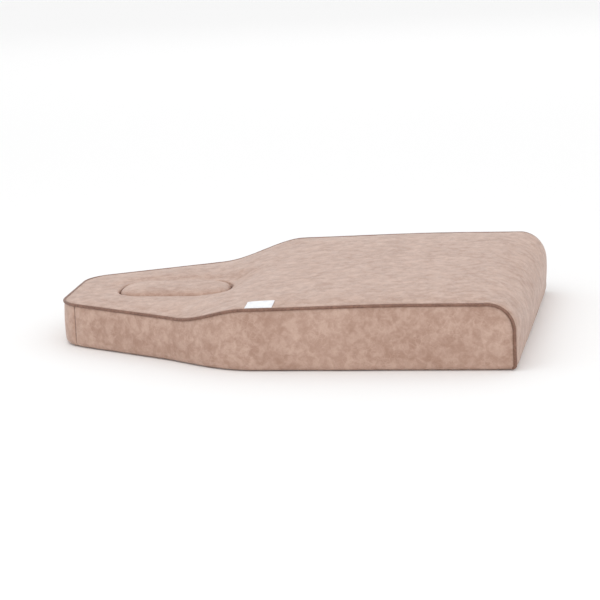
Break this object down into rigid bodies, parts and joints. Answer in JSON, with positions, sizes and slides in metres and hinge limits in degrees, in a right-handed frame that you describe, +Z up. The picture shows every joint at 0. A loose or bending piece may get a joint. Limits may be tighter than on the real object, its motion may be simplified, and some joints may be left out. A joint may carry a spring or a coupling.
{
  "type": "facial bed head cushion",
  "caption": "Upholstered head section pad with tapered head end, stepped top, oval face opening and a lift-out plug cushion on a plywood base.",
  "frame": {"origin": "middle of the pad's outer box, on the flat underside", "axes": "+X along the pad from the head end to the hinge end, +Y to the left of a person lying face down, +Z up"},
  "size_m": [0.751, 0.579, 0.1045],
  "materials": {
    "cover_top": "satin",
    "cover_side": "satin",
    "piping": "satin",
    "plywood": "matte",
    "firm_foam": "matte",
    "soft_foam": "matte",
    "non_woven": "matte",
    "zinc_steel": "satin",
    "label": "satin"
  },
  "bodies": {
    "pad": {"base_board": "plywood", "edge_foam_strip": "soft_foam", "foam_base": "firm_foam", "foam_riser": "firm_foam", "foam_comfort_layer": "soft_foam", "top_panel": "cover_top", "side_panel_left": "cover_side", "side_panel_right": "cover_side", "head_end_panel": "cover_side", "opening_liner": "cover_side", "seam_piping": "piping", "dust_cover": "non_woven", "cover_staples": "zinc_steel", "dust_cover_staples": "zinc_steel", "tee_nuts": "zinc_steel", "blank_label": "label"},
    "plug": {"plug_top_panel": "cover_top", "plug_side_band": "cover_side", "plug_foam": "soft_foam", "plug_board": "plywood", "plug_bottom_cover": "non_woven", "plug_staples": "zinc_steel"}
  },
  "joints": [
    {"name": "plug_lift", "type": "slide", "parent": "pad", "child": "plug", "axis": [0, 0, 1], "range_m": [0, 0.12]}
  ]
}
